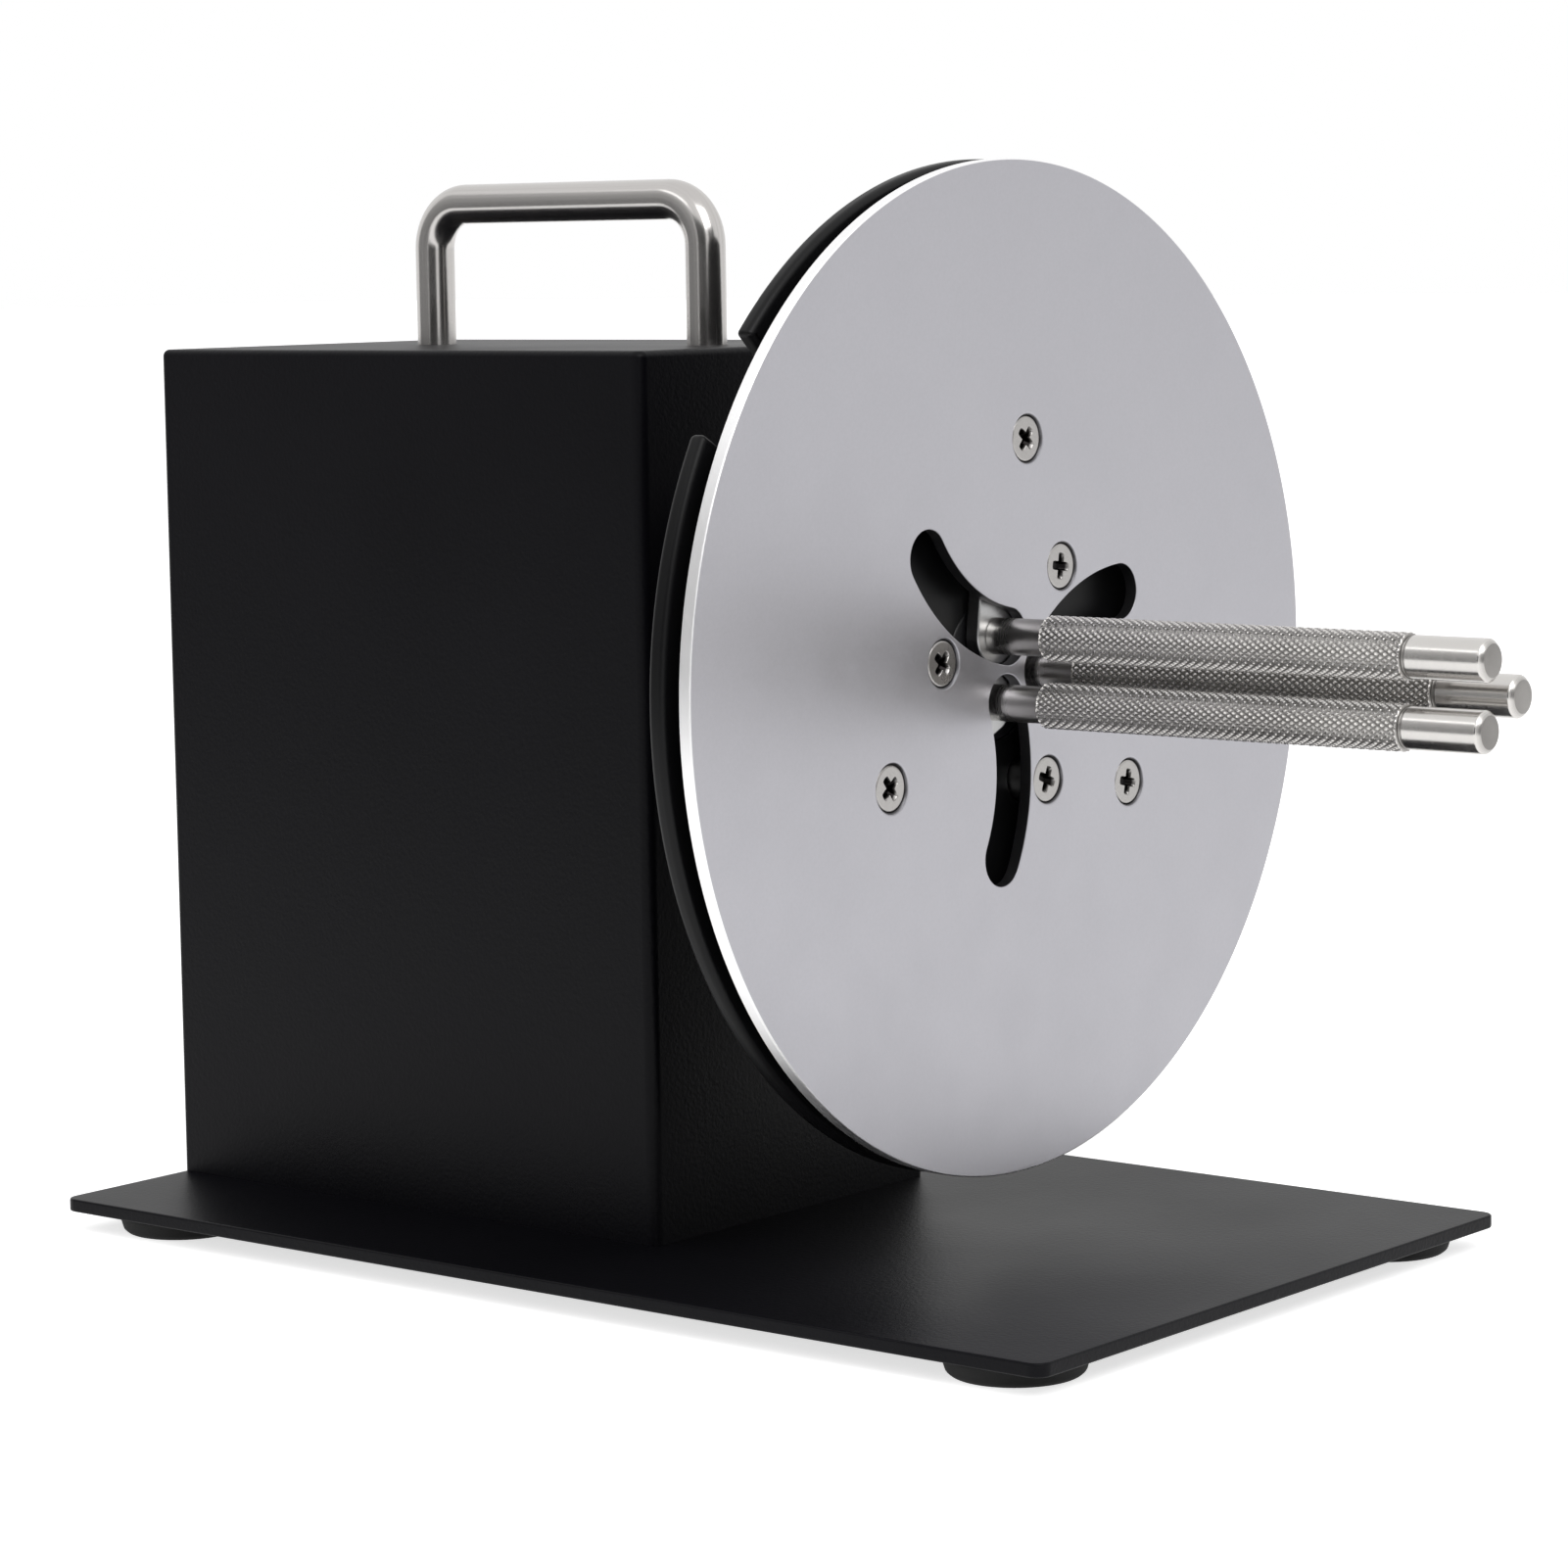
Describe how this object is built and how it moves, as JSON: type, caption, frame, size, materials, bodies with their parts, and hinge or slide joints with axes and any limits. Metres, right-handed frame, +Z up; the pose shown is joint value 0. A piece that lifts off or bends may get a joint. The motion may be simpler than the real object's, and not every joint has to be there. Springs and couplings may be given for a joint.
{
  "type": "label rewinder",
  "caption": "Desktop motor label rewinder: folded black housing with a carry handle on a footed base plate, and a silver disc whose knurled rods spread to grip a roll core.",
  "frame": {"origin": "on the floor under the middle of the bounding box", "axes": "+X along the spindle out of the face of the winding disc, +Z up, +Y to the right of someone facing the disc"},
  "size_m": [0.3524, 0.22, 0.2441],
  "materials": {
    "powder_coat": "semi-matte powder coat",
    "foot_rubber": "matte",
    "zinc_screws": "zinc plated",
    "black_screws": "blackened",
    "handle_steel": "polished",
    "bracket_steel": "zinc plated",
    "black_anodised": "black anodised",
    "bearing_steel": "ground",
    "spring_steel": "blackened",
    "gearbox_metal": "cast",
    "motor_paint": "semi-gloss",
    "board_laminate": "solder mask",
    "brass": "turned",
    "capacitor_sleeve": "shrink sleeve",
    "heat_sink_metal": "extruded",
    "terminal_plastic": "moulded",
    "control_plastic": "moulded",
    "rocker_plastic": "moulded",
    "nickel": "nickel plated",
    "shaft_steel": "ground",
    "coupling_metal": "turned",
    "washer_fibre": "fibre",
    "zinc_steel": "zinc plated",
    "satin_aluminium": "satin",
    "bright_screws": "stainless",
    "wheel_black": "black anodised",
    "rod_steel": "knurled"
  },
  "bodies": {
    "stand": {"base_plate": "powder_coat", "rubber_feet": "foot_rubber", "foot_screws": "zinc_screws", "housing_shell": "powder_coat", "shell_screws": "zinc_screws", "rear_panel": "powder_coat", "rear_panel_screws": "black_screws", "carry_handle": "handle_steel", "handle_screws": "zinc_screws", "spindle_bracket": "bracket_steel", "bearing_housing": "black_anodised", "bearing_housing_screws": "black_screws", "bearing_outer_rings": "bearing_steel", "bearing_balls": "bearing_steel", "bearing_clip": "spring_steel", "motor_bracket": "bracket_steel", "bracket_screws": "zinc_screws", "gearbox": "gearbox_metal", "motor_can": "motor_paint", "motor_screws": "zinc_screws", "control_board": "board_laminate", "board_standoffs": "brass", "board_capacitors": "capacitor_sleeve", "board_heat_sink": "heat_sink_metal", "board_terminals": "terminal_plastic", "switch_body": "control_plastic", "potentiometer": "nickel", "pot_nut": "nickel", "power_inlet": "control_plastic", "inlet_nut": "nickel"},
    "rotor": {"spindle": "shaft_steel", "bearing_inner_rings": "bearing_steel", "spindle_clip": "spring_steel", "shaft_coupling": "coupling_metal", "coupling_screws": "black_screws", "gearbox_shaft": "shaft_steel", "hub": "black_anodised", "hub_set_screws": "black_screws", "friction_washer": "washer_fibre", "wheel_clip": "spring_steel", "disc_standoffs": "zinc_steel", "front_disc": "satin_aluminium", "disc_screws": "bright_screws", "pivot_posts": "zinc_steel", "pivot_screws": "bright_screws"},
    "wheel": {"adjusting_wheel": "wheel_black"},
    "arm_1": {"lever_arm_1": "zinc_steel", "core_rod_1": "rod_steel", "drive_pin_1": "zinc_steel"},
    "arm_2": {"lever_arm_2": "zinc_steel", "core_rod_2": "rod_steel", "drive_pin_2": "zinc_steel"},
    "arm_3": {"lever_arm_3": "zinc_steel", "core_rod_3": "rod_steel", "drive_pin_3": "zinc_steel"},
    "rocker": {"switch_rocker": "rocker_plastic"},
    "knob": {"torque_knob": "control_plastic", "pot_shaft": "nickel"}
  },
  "joints": [
    {"name": "spindle_spin", "type": "hinge", "parent": "stand", "child": "rotor", "pos_m": [0.05625, 0, 0.1341], "axis": [1, 0, 0], "continuous": true},
    {"name": "wheel_turn", "type": "hinge", "parent": "rotor", "child": "wheel", "pos_m": [0.05625, 0, 0.1341], "axis": [-1, 0, 0], "range_deg": [0, 13.12]},
    {"name": "arm_1_swing", "type": "hinge", "parent": "rotor", "child": "arm_1", "pos_m": [0.05625, 0.0041, 0.18393], "axis": [-1, 0, 0], "range_deg": [0, 46.05]},
    {"name": "arm_2_swing", "type": "hinge", "parent": "rotor", "child": "arm_2", "pos_m": [0.05625, -0.0452, 0.11273], "axis": [-1, 0, 0], "range_deg": [0, 46.05]},
    {"name": "arm_3_swing", "type": "hinge", "parent": "rotor", "child": "arm_3", "pos_m": [0.05625, 0.04111, 0.10564], "axis": [-1, 0, 0], "range_deg": [0, 46.05]},
    {"name": "rocker_tilt", "type": "hinge", "parent": "stand", "child": "rocker", "pos_m": [-0.15625, -0.02, 0.0836], "axis": [0, 1, 0], "range_deg": [-9, 9]},
    {"name": "knob_turn", "type": "hinge", "parent": "stand", "child": "knob", "pos_m": [-0.15825, 0.02, 0.0836], "axis": [-1, 0, 0], "range_deg": [-140, 140]}
  ],
  "couplings": [
    {"joint": "arm_1_swing", "follows": "wheel_turn", "ratio": 3.5049},
    {"joint": "arm_2_swing", "follows": "wheel_turn", "ratio": 3.5049},
    {"joint": "arm_3_swing", "follows": "wheel_turn", "ratio": 3.5049}
  ]
}
